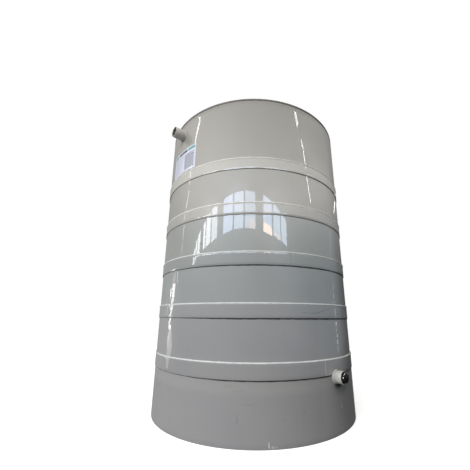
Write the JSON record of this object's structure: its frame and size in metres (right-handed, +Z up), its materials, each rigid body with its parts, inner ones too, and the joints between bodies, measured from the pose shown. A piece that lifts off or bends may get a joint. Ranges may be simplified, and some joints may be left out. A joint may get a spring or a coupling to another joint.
{
  "type": "cone bottom tank",
  "caption": "Upright round plastic storage tank with hoop bands, a sloped cone bottom inside a skirt, roof manhole, overflow and plugged outlet.",
  "frame": {"origin": "on the tank's axis at floor level, in the flat underside of the base plate", "axes": "+Z up the tank's axis; +X out through the lower outlet; -Y out through the upper overflow stub"},
  "size_m": [2.194, 2.224, 3.1066],
  "materials": {
    "wall_sheet": "satin",
    "skirt_sheet": "satin",
    "fitting": "satin",
    "plug_black": "gloss"
  },
  "bodies": {
    "root": {"skirt_course_front": "skirt_sheet", "skirt_course_rear": "skirt_sheet", "shell_course_1_front": "wall_sheet", "shell_course_1_rear": "wall_sheet", "shell_course_2_front": "wall_sheet", "shell_course_2_rear": "wall_sheet", "shell_course_3_front": "wall_sheet", "shell_course_3_rear": "wall_sheet", "shell_course_4_front": "wall_sheet", "shell_course_4_rear": "wall_sheet", "shell_course_5_front": "wall_sheet", "shell_course_5_rear": "wall_sheet", "hoop_band_1": "wall_sheet", "hoop_band_2": "wall_sheet", "hoop_band_3": "wall_sheet", "hoop_band_4": "wall_sheet", "hoop_band_5": "wall_sheet", "cone_bottom": "wall_sheet", "drain_sump": "wall_sheet", "drain_pipe": "fitting", "support_rib_1": "wall_sheet", "support_rib_2": "wall_sheet", "support_rib_3": "wall_sheet", "support_rib_4": "wall_sheet", "support_rib_5": "wall_sheet", "support_rib_6": "wall_sheet", "base_plate": "wall_sheet", "roof_plate": "wall_sheet", "manhole_neck": "wall_sheet", "manhole_cover": "wall_sheet", "cover_handle": "plug_black", "vent_pipe": "wall_sheet", "vent_cap": "wall_sheet", "overflow_nozzle": "wall_sheet", "inlet_nozzle": "wall_sheet", "outlet_collar": "fitting", "outlet_socket": "fitting", "outlet_plug": "plug_black", "drain_collar": "fitting", "drain_socket": "fitting", "drain_plug": "plug_black"}
  },
  "joints": []
}
